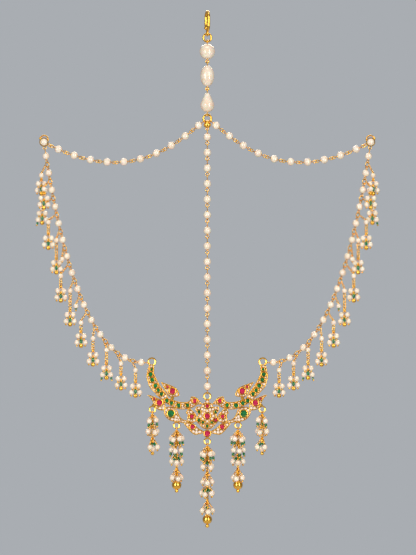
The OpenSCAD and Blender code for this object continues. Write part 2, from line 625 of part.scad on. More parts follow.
// Stones; the flower's lower right emerald is a ruby
stone_sides = 8;
function across(at) = [-at.x, at.y, at.z];
module ruby(at) color("crimson") set_stone(at, stone_sides);
module emeralds(list) color("darkgreen") for (at = list) set_stone(at, stone_sides);
module middle_emeralds() emeralds([low_emerald, flower_emeralds[0], flower_emeralds[1], flower_emeralds[2],
  across(flower_emeralds[0]), across(flower_emeralds[2])]);
module leaf_ruby_set() color("crimson") both_halves() for (at = leaf_rubies) set_stone(at, stone_sides);

hook();
hook_ring();
round_pearl();
round_pearl_pin();
oval_pearl();
oval_pearl_pin();
teardrop_pearl();
teardrop_pearl_pin();
junction_ring();
junction_bead();
centre_pearls();
centre_pins();
side_pearls("left");  // side_pearls_left
side_pearls("right");  // side_pearls_right
side_pins("left");  // side_pins_left
side_pins("right");  // side_pins_right
corner_setting("left");  // corner_setting_left
corner_setting("right");  // corner_setting_right
corner_pearl("left");  // corner_pearl_left
corner_pearl("right");  // corner_pearl_right
fringe_pearls("left");  // fringe_pearls_left
fringe_pearls("right");  // fringe_pearls_right
fringe_pins("left");  // fringe_pins_left
fringe_pins("right");  // fringe_pins_right
fringe_drops("left");  // fringe_drops_left
fringe_drops("right");  // fringe_drops_right
plaque();
ruby(flower_ruby);
ruby(flower_top_ruby);
ruby(flower_side_ruby);
ruby(pendant_ruby);
mirrored("left") ruby(head_ruby);  // head_ruby_left
mirrored("right") ruby(head_ruby);  // head_ruby_right
mirrored("left") ruby(bud_ruby);  // bud_ruby_left
mirrored("right") ruby(bud_ruby);  // bud_ruby_right
mirrored("left") ruby(upper_leaf_ruby);  // upper_leaf_ruby_left
mirrored("right") ruby(upper_leaf_ruby);  // upper_leaf_ruby_right
mirrored("left") ruby(lower_leaf_ruby);  // lower_leaf_ruby_left
mirrored("right") ruby(lower_leaf_ruby);  // lower_leaf_ruby_right
mirrored("left") ruby(bottom_leaf_ruby);  // bottom_leaf_ruby_left
mirrored("right") ruby(bottom_leaf_ruby);  // bottom_leaf_ruby_right
mirrored("left") emeralds([large_emerald]);  // large_emerald_left
mirrored("right") emeralds([large_emerald]);  // large_emerald_right
mirrored("left") emeralds(tail_emeralds);  // tail_emeralds_left
mirrored("right") emeralds(tail_emeralds);  // tail_emeralds_right
mirrored("left") emeralds(breast_emeralds);  // breast_emeralds_left
mirrored("right") emeralds(breast_emeralds);  // breast_emeralds_right
middle_emeralds();  // flower_emeralds
leaf_ruby_set();  // small_rubies
tassel_outer("left");  // tassel_outer_left
tassel_inner("left");  // tassel_inner_left
tassel_centre();
tassel_inner("right");  // tassel_inner_right
tassel_outer("right");  // tassel_outer_right
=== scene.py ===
import math

import bpy
from mathutils import Matrix, Vector


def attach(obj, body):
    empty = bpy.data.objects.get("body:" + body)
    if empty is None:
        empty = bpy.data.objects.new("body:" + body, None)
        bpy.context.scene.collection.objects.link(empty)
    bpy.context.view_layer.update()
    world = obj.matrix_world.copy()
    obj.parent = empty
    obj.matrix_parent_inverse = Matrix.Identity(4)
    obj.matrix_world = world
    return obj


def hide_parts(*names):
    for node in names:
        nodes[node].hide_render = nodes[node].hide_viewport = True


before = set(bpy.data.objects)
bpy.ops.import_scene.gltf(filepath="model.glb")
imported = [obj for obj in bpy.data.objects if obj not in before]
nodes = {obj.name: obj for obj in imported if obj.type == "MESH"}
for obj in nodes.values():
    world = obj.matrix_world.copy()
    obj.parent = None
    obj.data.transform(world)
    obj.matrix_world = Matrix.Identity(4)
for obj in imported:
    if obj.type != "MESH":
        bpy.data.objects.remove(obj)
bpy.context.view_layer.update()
scene = bpy.context.scene
mm = 0.001
print("frame loaded:", len(nodes), "CAD nodes")


studio = {
    "viewMiddle": (0.37, -138.7),  # mm, what the middle of the picture looks at
    "viewHeight": 291.4,           # mm of the jewel's plane that the picture is high
    "cameraDistance": 1500.0,      # mm
    "sensor": 36,                  # mm
    "floorDepth": 420.0,           # mm below the hook
    "floorRadius": 330.0,          # mm
    "floorColour": "#d9d6d0",
    "floorRoughness": 0.9,
    "backColour": "#a9adb2",
    "glowColour": "#e9dfce",
    "roomGlow": 0.32,
    "lights": [
        # name, place in metres, width and height in metres, watts, colour
        ("leftSoftbox", (-0.62, -0.85, -0.02), (0.26, 0.95), 6.2, "#fff8ec"),
        ("rightSoftbox", (0.62, -0.85, -0.02), (0.26, 0.95), 6.2, "#fff8ec"),
        ("topSoftbox", (0, -0.25, 0.75), (0.6, 0.4), 1.8, "#fff8ee"),
        ("backSoftbox", (0, 0.8, 0.35), (0.7, 0.3), 4.0, "#fff1dc"),
    ],
}


def hexColour(code):
    parts = [int(code[i:i + 2], 16) / 255 for i in (1, 3, 5)]
    return [c / 12.92 if c <= 0.04045 else ((c + 0.055) / 1.055) ** 2.4 for c in parts] + [1.0]


def selectOnly(*objects):
    if bpy.context.object and bpy.context.object.mode != "OBJECT":
        bpy.ops.object.mode_set(mode="OBJECT")
    bpy.ops.object.select_all(action="DESELECT")
    for o in objects:
        o.select_set(True)
    if objects:
        bpy.context.view_layer.objects.active = objects[0]


def addLight(aim, name, place, size, power, colour):
    bpy.ops.object.light_add(type="AREA", location=place)
    lamp = bpy.context.object
    lamp.name = name
    lamp.data.shape = "RECTANGLE"
    lamp.data.size, lamp.data.size_y = size
    lamp.data.energy = power
    lamp.data.color = hexColour(colour)[:3]
    lamp.rotation_euler = (Vector(aim) - Vector(place)).to_track_quat("-Z", "Y").to_euler()
    return lamp


def addNode(tree, kind, place, inputs=None, links=None, **settings):
    node = tree.nodes.new(kind)
    node.location = place
    for key, value in settings.items():
        setattr(node, key, value)
    for key, value in (inputs or {}).items():
        node.inputs[key].default_value = value
    for key, source in (links or {}).items():
        tree.links.new(source, node.inputs[key])
    return node


def makeStudio():
    selectOnly()
    x, z = (v * mm for v in studio["viewMiddle"])
    bpy.ops.object.camera_add(location=(x, -studio["cameraDistance"] * mm, z),
                              rotation=(math.pi / 2, 0, 0))
    camera = bpy.context.object
    camera.name = "studioCamera"
    camera.data.sensor_width = studio["sensor"]
    camera.data.lens = studio["sensor"] * studio["cameraDistance"] / studio["viewHeight"]
    camera.data.clip_start, camera.data.clip_end = 0.01, 20
    scene.camera = camera

    bpy.ops.mesh.primitive_circle_add(vertices=96, radius=studio["floorRadius"] * mm,
                                      fill_type="NGON", location=(0, 0, -studio["floorDepth"] * mm))
    floor = bpy.context.object
    floor.name = "studioFloor"
    paper = bpy.data.materials.new("matt paper floor")
    paper.use_nodes = True
    shader = paper.node_tree.nodes["Principled BSDF"]
    shader.inputs["Base Color"].default_value = hexColour(studio["floorColour"])
    shader.inputs["Roughness"].default_value = studio["floorRoughness"]
    floor.data.materials.append(paper)

    for light in studio["lights"]:
        addLight((0, 0, z), *light)

    world = bpy.data.worlds.new("pale room")
    scene.world = world
    world.use_nodes = True
    tree = world.node_tree
    tree.nodes.clear()
    rays = addNode(tree, "ShaderNodeLightPath", (-400, 300))
    glow = addNode(tree, "ShaderNodeBackground", (-200, 100),
                   {"Color": hexColour(studio["glowColour"]), "Strength": studio["roomGlow"]})
    seen = addNode(tree, "ShaderNodeBackground", (-200, -100),
                   {"Color": hexColour(studio["backColour"]), "Strength": 1.0})
    mix = addNode(tree, "ShaderNodeMixShader", (0, 0), links={0: rays.outputs["Is Camera Ray"],
                  1: glow.outputs[0], 2: seen.outputs[0]})
    addNode(tree, "ShaderNodeOutputWorld", (200, 0), links={"Surface": mix.outputs[0]})
    scene.view_settings.view_transform = "Standard"
    scene.view_settings.look = "None"
    print("studio: camera, softboxes, floor and room")


makeStudio()


# Every finish drifts from its deep colour to its main one over patches of a size in mm: below the
# first part of blend the patches are all deep, above the second all main.

# 22 carat gold, worked and polished by hand: bright yellow, with a soft haze of wear
goldFinish = {
    "colour": "#ffd062", "deep": "#fbb944", "blend": (0.3, 0.52), "patchMm": 1.6, "detail": 3.0,
    "distortion": 0.0, "roughness": (0.12, 0.24), "grainMm": 0.22, "bump": 0.05,
}
# 22 carat gold, cast and chased, for the plaque: duller, with a coarser and deeper grain
castFinish = {
    "colour": "#ffd062", "deep": "#fbb944", "blend": (0.3, 0.52), "patchMm": 1.4, "detail": 3.0,
    "distortion": 0.0, "roughness": (0.22, 0.36), "grainMm": 0.3, "bump": 0.14,
}
grainDepthMm = 0.05  # at a bump of 1
# Freshwater pearl: thin layers of nacre over a cream body, a tight coat and a warm bloom at the edge
nacreFinish = {
    "colour": "#f7f0e8", "deep": "#eeddcc", "blend": (0.32, 0.62), "patchMm": 2.6, "detail": 2.0,
    "distortion": 0.6, "bloom": "#e08a34", "layerMm": 0.35, "layerBump": 0.05, "layerDepthMm": 0.03,
    "shader": {"Roughness": 0.24, "IOR": 1.6, "Subsurface Weight": 0.12, "Subsurface Scale": 0.6 * mm,
               "Coat Weight": 0.8, "Coat Roughness": 0.06, "Coat IOR": 1.5,
               "Sheen Weight": 0.5, "Sheen Roughness": 0.35},
}
# Ruby, cut and foiled: strong magenta red
rubyFinish = {"colour": "#e81c68", "deep": "#b00540", "patchMm": 1.1, "ior": 1.77, "clear": 0.15,
              "rough": 0.06}
# Emerald, cut and foiled: deep green with cloudy gardens inside
emeraldFinish = {"colour": "#0c9550", "deep": "#04592e", "patchMm": 0.9, "ior": 1.58, "clear": 0.15,
                 "rough": 0.06}
# Polki, the uncut white stones, foiled: milky, a little pink
polkiFinish = {"colour": "#fffaf6", "deep": "#fdeeea", "patchMm": 0.7, "ior": 1.9, "clear": 0.0,
               "rough": 0.2}
# Glass beads, drawn and tumbled: translucent green
beadFinish = {"colour": "#18a868", "deep": "#0b7544", "patchMm": 0.8, "ior": 1.52, "clear": 0.45,
              "rough": 0.08}
# What the stones and the glass share
stoneFinish = {"blend": (0.36, 0.62), "detail": 3.0, "distortion": 0.8, "coat": 0.7, "coatRough": 0.03}


def perMetre(sizeMm):
    return 1.0 / (sizeMm * mm)  # a noise cell of about this size


def startMaterial(name, finish):
    # a shader whose base colour drifts over patches, and what the rest of the finish is built on
    material = bpy.data.materials.new(name)
    material.use_nodes = True
    tree = material.node_tree
    tree.nodes.clear()
    output = addNode(tree, "ShaderNodeOutputMaterial", (600, 0))
    shader = addNode(tree, "ShaderNodeBsdfPrincipled", (300, 0))
    tree.links.new(shader.outputs[0], output.inputs["Surface"])
    where = addNode(tree, "ShaderNodeTexCoord", (-900, 0)).outputs["Object"]
    patches = addNode(tree, "ShaderNodeTexNoise", (-700, 100),
                      {"Scale": perMetre(finish["patchMm"]), "Detail": finish["detail"],
                       "Distortion": finish["distortion"]}, {"Vector": where})
    tint = addNode(tree, "ShaderNodeValToRGB", (-450, 200), links={"Fac": patches.outputs["Fac"]})
    colours = (finish["deep"], finish["colour"])
    for stop, place, code in zip(tint.color_ramp.elements, finish["blend"], colours):
        stop.position = place
        stop.color = hexColour(code)
    tree.links.new(tint.outputs["Color"], shader.inputs["Base Color"])
    return material, shader, tree, where, patches


def makeGold(name, finish):
    material, shader, tree, where, haze = startMaterial(name, finish)
    shader.inputs["Metallic"].default_value = 1.0
    smooth, worn = finish["roughness"]
    polish = addNode(tree, "ShaderNodeMapRange", (-450, 0),
                     {"From Min": 0.3, "From Max": 0.7, "To Min": smooth, "To Max": worn},
                     {"Value": haze.outputs["Fac"]})
    tree.links.new(polish.outputs["Result"], shader.inputs["Roughness"])
    grain = addNode(tree, "ShaderNodeTexNoise", (-700, -250),
                    {"Scale": perMetre(finish["grainMm"]), "Detail": 2.0}, {"Vector": where})
    dents = addNode(tree, "ShaderNodeBump", (-200, -250),
                    {"Strength": finish["bump"], "Distance": grainDepthMm * mm},
                    {"Height": grain.outputs["Fac"]})
    tree.links.new(dents.outputs["Normal"], shader.inputs["Normal"])
    return material


def makeNacre(name, finish):
    material, shader, tree, where = startMaterial(name, finish)[:4]
    layers = addNode(tree, "ShaderNodeTexNoise", (-700, -250),
                     {"Scale": perMetre(finish["layerMm"]), "Detail": 1.0}, {"Vector": where})
    ripple = addNode(tree, "ShaderNodeBump", (-200, -250),
                     {"Strength": finish["layerBump"], "Distance": finish["layerDepthMm"] * mm},
                     {"Height": layers.outputs["Fac"]})
    tree.links.new(ripple.outputs["Normal"], shader.inputs["Normal"])
    for key, value in finish["shader"].items():
        shader.inputs[key].default_value = value
    shader.inputs["Sheen Tint"].default_value = hexColour(finish["bloom"])
    return material


def makeStone(name, finish):
    material, shader = startMaterial(name, {**stoneFinish, **finish})[:2]
    for key, value in {"Roughness": finish["rough"], "IOR": finish["ior"],
                       "Transmission Weight": finish["clear"], "Coat Weight": stoneFinish["coat"],
                       "Coat Roughness": stoneFinish["coatRough"]}.items():
        shader.inputs[key].default_value = value
    return material


gold = makeGold("22 carat gold wire", goldFinish)
castGold = makeGold("22 carat gold cast and chased", castFinish)
nacre = makeNacre("freshwater nacre", nacreFinish)
ruby = makeStone("cut ruby on foil", rubyFinish)
emerald = makeStone("cut emerald on foil", emeraldFinish)
polki = makeStone("uncut polki stone on foil", polkiFinish)
greenGlass = makeStone("tumbled green glass", beadFinish)
print("materials: gold, nacre, ruby, emerald, polki and glass")


# The small shapes that are repeated, all made for a radius or a width of 1
shapes = {}
ringWire = 0.24  # a chain ring's wire
shapeMaker = {
    "fineWire": 0.3, "bezelWire": 0.16,                     # radius of the wire of a fine ring and a bezel
    "hole": 0.04, "holeSink": 0.03,                         # a pearl's pole
    "capRadius": 1.03, "capEdge": 0.92, "capThick": 0.06,   # a cap on a pearl
    "girdle": 0.06, "crown": 0.11, "crownTaper": 0.8,       # a cut stone, from its girdle
    "table": 0.08, "tableTaper": 0.69, "pavilion": 0.3, "culet": 0.3,
    "glassLength": 1.15,                                    # a glass bead's length, of its width
}


def keepShape(key, obj, material, smooth=True):
    obj.name = "shape_" + key
    if smooth:
        selectOnly(obj)
        bpy.ops.object.shade_smooth()
    obj.data.materials.clear()
    obj.data.materials.append(material)
    shapes[key] = obj


def pickFaces(obj, test):
    # faces whose middle and normal pass the test are selected
    bpy.ops.object.mode_set(mode="OBJECT")
    for v in obj.data.vertices:
        v.select = False
    for e in obj.data.edges:
        e.select = False
    for f in obj.data.polygons:
        f.select = test(f.center, f.normal)
    bpy.ops.object.mode_set(mode="EDIT")
    bpy.ops.mesh.select_mode(type="FACE")


def modelPearl(key, segments, rings):
    # drilled pearl, 2 across: a ball whose poles sink a little at the hole
    selectOnly()
    bpy.ops.mesh.primitive_uv_sphere_add(segments=segments, ring_count=rings, radius=1)
    pearl = bpy.context.object
    for sign in (1, -1):
        pickFaces(pearl, lambda c, n: c.z * sign > math.cos(math.pi * 1.1 / rings))
        bpy.ops.mesh.inset(thickness=shapeMaker["hole"], depth=-shapeMaker["holeSink"])
    bpy.ops.object.mode_set(mode="OBJECT")
    keepShape(key, pearl, nacre)


def modelRing(key, minor, around, across):
    # a ring of radius 1 that lies flat; minor is its wire's radius
    selectOnly()
    bpy.ops.mesh.primitive_torus_add(major_segments=around, minor_segments=across, major_radius=1,
                                     minor_radius=minor)
    keepShape(key, bpy.context.object, gold)


def modelBead(key, segments, rings, material, length=1.0):
    selectOnly()
    bpy.ops.mesh.primitive_uv_sphere_add(segments=segments, ring_count=rings, radius=1)
    bead = bpy.context.object
    bpy.ops.object.mode_set(mode="EDIT")
    bpy.ops.mesh.select_all(action="SELECT")
    bpy.ops.transform.resize(value=(1, 1, length))
    bpy.ops.object.mode_set(mode="OBJECT")
    keepShape(key, bead, material)


def modelWire(key, sides):
    # 1 across and 1 long, from the origin up
    selectOnly()
    bpy.ops.mesh.primitive_cylinder_add(vertices=sides, radius=0.5, depth=1, location=(0, 0, 0.5))
    wire = bpy.context.object
    bpy.ops.object.transform_apply(location=True, rotation=False, scale=False)
    keepShape(key, wire, gold)


def modelCap(key):
    # a shallow gold cup that sits on a pearl's pole, for a pearl of radius 1
    selectOnly()
    bpy.ops.mesh.primitive_uv_sphere_add(segments=10, ring_count=12,
                                         radius=shapeMaker["capRadius"])
    cap = bpy.context.object
    pickFaces(cap, lambda c, n: c.z < shapeMaker["capEdge"])
    bpy.ops.mesh.delete(type="FACE")
    bpy.ops.object.mode_set(mode="OBJECT")
    selectOnly(cap)
    thick = cap.modifiers.new("thickness", "SOLIDIFY")
    thick.thickness = shapeMaker["capThick"]
    bpy.ops.object.modifier_apply(modifier=thick.name)
    keepShape(key, cap, gold)


def growStone(length, taper):
    # the picked faces are drawn out along the stone and narrowed
    bpy.ops.mesh.extrude_region_move(TRANSFORM_OT_translate={"value": (0, 0, length)})
    bpy.ops.transform.resize(value=(taper, taper, 1))


def modelStone(key, sides, material):
    # a cut stone 1 across, girdle at z 0: pavilion below, crown and table above
    cfg = shapeMaker
    selectOnly()
    bpy.ops.mesh.primitive_cylinder_add(vertices=sides, radius=0.5, depth=cfg["girdle"],
                                        location=(0, 0, -cfg["girdle"] / 2))
    stone = bpy.context.object
    bpy.ops.object.transform_apply(location=True, rotation=False, scale=False)
    pickFaces(stone, lambda c, n: n.z > 0.9)
    growStone(cfg["crown"], cfg["crownTaper"])
    growStone(cfg["table"], cfg["tableTaper"])
    pickFaces(stone, lambda c, n: n.z < -0.9)
    growStone(-cfg["pavilion"], cfg["culet"])
    bpy.ops.object.mode_set(mode="OBJECT")
    keepShape(key, stone, material, smooth=False)


def modelShapes():
    modelPearl("finePearl", 20, 12)
    modelPearl("smallPearl", 14, 9)
    modelRing("chainRing", ringWire, 14, 6)
    modelRing("fineRing", shapeMaker["fineWire"], 10, 6)
    modelRing("bezel", shapeMaker["bezelWire"], 20, 6)
    modelBead("goldBall", 24, 14, gold)
    modelBead("goldTip", 8, 6, gold)
    modelBead("glassBead", 9, 6, greenGlass, shapeMaker["glassLength"])
    modelWire("wire", 7)
    modelCap("pearlCap")
    modelStone("polkiCut", 8, polki)
    print("repeated shapes:", ", ".join(shapes))


modelShapes()


def putCopy(key, place):
    source = shapes[key]
    twin = bpy.data.objects.new(source.name, source.data.copy())
    scene.collection.objects.link(twin)
    twin.matrix_world = place
    return twin


def joinPieces(name, copies):
    selectOnly(*copies)
    bpy.ops.object.join()
    piece = bpy.context.object
    bpy.ops.object.transform_apply(location=True, rotation=True, scale=True)
    piece.name = name
    piece.data.name = name
    return piece


def mirrorPiece(piece, name):
    twin = bpy.data.objects.new(name, piece.data.copy())
    scene.collection.objects.link(twin)
    selectOnly(twin)
    bpy.ops.object.mode_set(mode="EDIT")
    bpy.ops.mesh.select_all(action="SELECT")
    bpy.ops.transform.mirror(constraint_axis=(True, False, False), center_override=(0, 0, 0))
    bpy.ops.mesh.normals_make_consistent(inside=False)
    bpy.ops.object.mode_set(mode="OBJECT")
    twin.data.name = name
    return twin


def finishPiece(piece, body, slot, *standsFor):
    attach(piece, body)
    if standsFor:
        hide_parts(*standsFor)


def millimetres(x, y, z):
    return Vector((x, y, z)) * mm


def turned(axis, degrees):
    return Matrix.Rotation(math.radians(degrees), 4, axis)


def sized(size):
    return Matrix.Scale(size * mm, 4)


def pointAlong(start, end):
    # turns +Z to run from start to end, at start
    way = end - start
    return Matrix.Translation(start * mm) @ way.to_track_quat("Z", "Y").to_matrix().to_4x4()


# The strings of pearls on eye pins, in mm: left half, measured from the hook
jewel = {
    "flowerZ": -211.42,
    "sideCount": 10, "sidePearl": 3.95, "sideEye": 0.95, "sidePitch": 8.84858, "sideFirst": 2.19,
    "sideEyeOff": 3.74429, "pinWire": 0.52,
    "fringeCount": 15, "fringePearl": 3.6, "fringeEye": 0.78, "fringePitch": 8.96288, "fringeFirst": 7.54,
    "fringeEyeOff": 2.88, "fringeFirstNeck": 0.6, "fringeLastNeck": 0.8, "fineWire": 0.47,
    "linkRadius": 1.32144,
    "centreCount": 17, "centrePearl": 4.0, "centreEye": 0.9, "centrePitch": 8.18, "firstCentreZ": -64.99,
    "centreEyeOff": 3.22, "centreNeck": 0.48,
    "stem": 0.8,  # of the eye's wire
    "pearlTurn": 37,  # degrees from one pearl to the next
}
sideRoute = [(0, -55.28), (-13, -64.78), (-38, -93.6), (-85.8, -67.6)]
fringeRoute = [(-85.8, -67.6), (-78.8, -115.6), (-63.6, -189.52), (-29.1, -182.92)]


def bezierPoint(route, t):
    a, b, c, d = (Vector(p) for p in route)
    u = 1 - t
    return u ** 3 * a + 3 * u * u * t * b + 3 * u * t * t * c + t ** 3 * d


def bezierWay(route, t):
    a, b, c, d = (Vector(p) for p in route)
    u = 1 - t
    return 3 * (u * u * (b - a) + 2 * u * t * (c - b) + t * t * (d - c))


def routePlace(route, length):
    # the point and the lean in degrees at a length in mm along the route
    steps = 60
    run, last = 0.0, bezierPoint(route, 0)
    for i in range(1, steps + 1):
        point = bezierPoint(route, i / steps)
        step = (point - last).length
        if run + step >= length or i == steps:
            t = (i - 1 + (length - run) / step) / steps
            way = bezierWay(route, t)
            return bezierPoint(route, t), math.degrees(math.atan2(-way.x, -way.y))
        run, last = run + step, point


def onRoute(route, length):
    point, lean = routePlace(route, length)
    return Matrix.Translation(millimetres(point.x, 0, point.y)) @ turned("Y", lean)


sidePlaces = [onRoute(sideRoute, jewel["sideFirst"] + jewel["sideEyeOff"] + i * jewel["sidePitch"])
              for i in range(jewel["sideCount"])]
fringePlaces = [onRoute(fringeRoute, jewel["fringeFirst"] + i * jewel["fringePitch"])
                for i in range(jewel["fringeCount"])]
centrePlaces = [Matrix.Translation(millimetres(0, 0, jewel["firstCentreZ"] - i * jewel["centrePitch"]))
                for i in range(jewel["centreCount"])]


def eyeAt(place, z, radius, wire, turn):
    # an eye stands upright: the ring is turned up out of the flat, then about the pin
    ring = Matrix.Translation(millimetres(0, 0, z)) @ turned("Z", turn) @ turned("X", 90)
    thin = wire / 2 / radius / ringWire
    return putCopy("chainRing", place @ ring @ sized(radius) @ Matrix.Diagonal((1, 1, thin, 1)))


def pinAt(place, up, down, eye, upTurn, downTurn, wire):
    stem = place @ Matrix.Translation(millimetres(0, 0, eye - down))
    length = up + down - 2 * eye
    thick = jewel["stem"] * wire * mm
    rod = putCopy("wire", stem @ Matrix.Diagonal((thick, thick, length * mm, 1)))
    return [eyeAt(place, up, eye, wire, upTurn), eyeAt(place, -down, eye, wire, downTurn), rod]


def capsAt(place, radius):
    return [putCopy("pearlCap", place @ turned("X", flip) @ sized(radius)) for flip in (0, 180)]


def makeString(name, places, diameter, standsFor):
    pearls = joinPieces(name, [putCopy("finePearl", place @ turned("Z", jewel["pearlTurn"] * i)
                                       @ sized(diameter / 2)) for i, place in enumerate(places)])
    finishPiece(pearls, "jewel", "pearl", standsFor)
    return pearls


def makeStrings():
    made = [c for place in centrePlaces for c in capsAt(place, jewel["centrePearl"] / 2)]
    for i, place in enumerate(centrePlaces):
        last = i == jewel["centreCount"] - 1
        made += pinAt(place, jewel["centreEyeOff"] + (jewel["centreNeck"] if i else 0), jewel["centreEyeOff"],
                      jewel["centreEye"], 90, 90 if last else 0, jewel["pinWire"])
    finishPiece(joinPieces("centreWires", made), "jewel", "gold", "centre_pins")
    makeString("centrePearls", centrePlaces, jewel["centrePearl"], "centre_pearls")

    made = [c for place in sidePlaces for c in capsAt(place, jewel["sidePearl"] / 2)]
    for i, place in enumerate(sidePlaces):
        made += pinAt(place, jewel["sideEyeOff"], jewel["sideEyeOff"], jewel["sideEye"], -45 if i else 90, 45,
                      jewel["pinWire"])
    wires = joinPieces("sideWiresLeft", made)
    finishPiece(mirrorPiece(wires, "sideWiresRight"), "jewel", "gold", "side_pins_right")
    finishPiece(wires, "jewel", "gold", "side_pins_left")
    pearls = makeString("sidePearlsLeft", sidePlaces, jewel["sidePearl"], "side_pearls_left")
    finishPiece(mirrorPiece(pearls, "sidePearlsRight"), "jewel", "pearl", "side_pearls_right")

    made = [c for place in fringePlaces for c in capsAt(place, jewel["fringePearl"] / 2)]
    for i, place in enumerate(fringePlaces):
        first, last = i == 0, i == jewel["fringeCount"] - 1
        made += pinAt(place, jewel["fringeEyeOff"] + (jewel["fringeFirstNeck"] if first else 0),
                      jewel["fringeEyeOff"] + (jewel["fringeLastNeck"] if last else 0),
                      jewel["fringeEye"], 90 if first else 45, 90 if last else 45, jewel["fineWire"])
    wires = joinPieces("fringeWiresLeft", made)
    finishPiece(mirrorPiece(wires, "fringeWiresRight"), "jewel", "gold", "fringe_pins_right")
    finishPiece(wires, "jewel", "gold", "fringe_pins_left")
    pearls = makeString("fringePearlsLeft", fringePlaces, jewel["fringePearl"], "fringe_pearls_left")
    finishPiece(mirrorPiece(pearls, "fringePearlsRight"), "jewel", "pearl", "fringe_pearls_right")
    print("strings: centre, sides and fringes")


makeStrings()


# The 14 drops of one fringe, in mm
dropMaker = {
    # gap between two pearls that it hangs in, aside, behind, head pearl's depth, whole fall
    "strands": [(1, -3.2, 0.8, 5.6, 16.3), (2, -3.2, -2.6, 4.0, 15.0), (3, -6.0, 2.2, 5.0, 14.0),
                (4, -4.4, -0.4, 3.8, 18.4), (5, -2.2, 0.8, 4.6, 22.5), (6, -1.2, -2.2, 5.7, 7.6),
                (7, -4.5, 0, 6.0, 20.0), (8, -2.4, 0.4, 5.2, 24.0), (9, -2.4, -1.2, 4.8, 7.6),
                (10, -3.4, 0, 5.4, 18.6), (11, -1.4, 0, 5.8, 20.6), (12, 0.6, -2.1, 4.4, 20.2),
                (13, 1.7, 0, 5.4, 19.6), (14, 1.4, 0, 4.9, 19.4)],
    "pearl": 2.7, "ball": 2.4, "tip": 1.0, "glass": 1.5, "wire": 0.4, "coreWire": 0.3,
    "longFall": 12.0, "leastChain": 1.0,
    "headTop": 0.4, "headTip": 0.47,  # of the head pearl's width
    "headRing": 0.55, "headStep": 1.05, "headTwist": 40,
    "ringRadius": 0.8, "ringStep": 1.45, "ringTwist": 35,
    "upperRise": 6.2, "upperSpread": 1.75, "upperTurn": 20,
    "lowerRise": 2.8, "lowerSpread": 2.2, "lowerTurn": 0,
    "knotRise": 2.4, "knotTurn": 25, "pairGlass": 1.2,
    "neckGlass": 0.8, "neckLength": 1.15, "neckRise": 1.2,
}
# What the clusters of drops and tassels share
cluster = {
    "knotRings": 3, "knotRadius": 0.66,  # mm
    "leanOut": 0.3,                      # mm, beads below a pearl
    "beadAbove": 0.45, "beadBelow": 0.55, "beadLength": 0.75, "tipSink": 0.3,  # of the bead's or tip's width
    "beadAlong": 0.45,                   # of the way from knot to pearl
    "ringFit": 0.62,                     # half a ring's length, of the step
}
kindOf = {"finePearl": "pearl", "smallPearl": "pearl", "glassBead": "glass"}


def ballAt(made, key, x, y, z, diameter):
    ball = putCopy(key, Matrix.Translation(millimetres(x, y, z)) @ sized(diameter / 2))
    made[kindOf.get(key, "gold")].append(ball)


def wireAt(made, start, end, wire):
    size = Matrix.Diagonal((wire * mm, wire * mm, (end - start).length * mm, 1))
    made["gold"].append(putCopy("wire", pointAlong(start, end) @ size))


def ringsAlong(made, start, end, radius, step, twist):
    # fine linked rings from start to end, twisted to the two sides in turn
    length = (end - start).length
    count = max(1, round(length / step))
    fit = radius if count == 1 else max(radius, cluster["ringFit"] * length / count)
    size = Matrix.Diagonal((radius * mm, fit * mm, radius * mm, 1))
    for i in range(count):
        at = pointAlong(start + (end - start) * (i + 0.5) / count, end + (end - start))
        turn = turned("Z", twist if i % 2 else -twist) @ turned("X", 90)
        made["gold"].append(putCopy("fineRing", at @ turn @ size))


def knotAt(made, centre, turn):
    place = Matrix.Translation(centre * mm)
    for i in range(cluster["knotRings"]):
        around = turned("Z", turn + 180 / cluster["knotRings"] * i) @ turned("X", 90)
        made["gold"].append(putCopy("fineRing", place @ around @ sized(cluster["knotRadius"])))


def hangPearl(made, knot, pearl, size, order, tip, glass):
    # one end of a cluster: a wire from the knot to a pearl, a glass bead below or above the pearl
    # or none, and a gold tip
    wireAt(made, knot, pearl, dropMaker["wire"])
    ballAt(made, "smallPearl", *pearl, size)
    low = pearl - Vector((0, 0, size / 2))
    out = Vector((pearl.x - knot.x, pearl.y - knot.y, 0))
    out = out * (cluster["leanOut"] / out.length) if out.length > 0.1 else out
    if order == "below":
        bead = low + out + Vector((0, 0, -glass * cluster["beadAbove"]))
        ballAt(made, "glassBead", *bead, glass)
        low = bead - Vector((0, 0, glass * cluster["beadBelow"])) + out
    if order == "above":
        bead = knot.lerp(pearl, cluster["beadAlong"])
        long = Matrix.Diagonal((glass / 2 * mm, glass / 2 * mm, cluster["beadLength"] * glass * mm, 1))
        made["glass"].append(putCopy("glassBead", pointAlong(bead, pearl) @ long))
    ballAt(made, "goldTip", low.x, low.y, low.z - tip * cluster["tipSink"], tip)


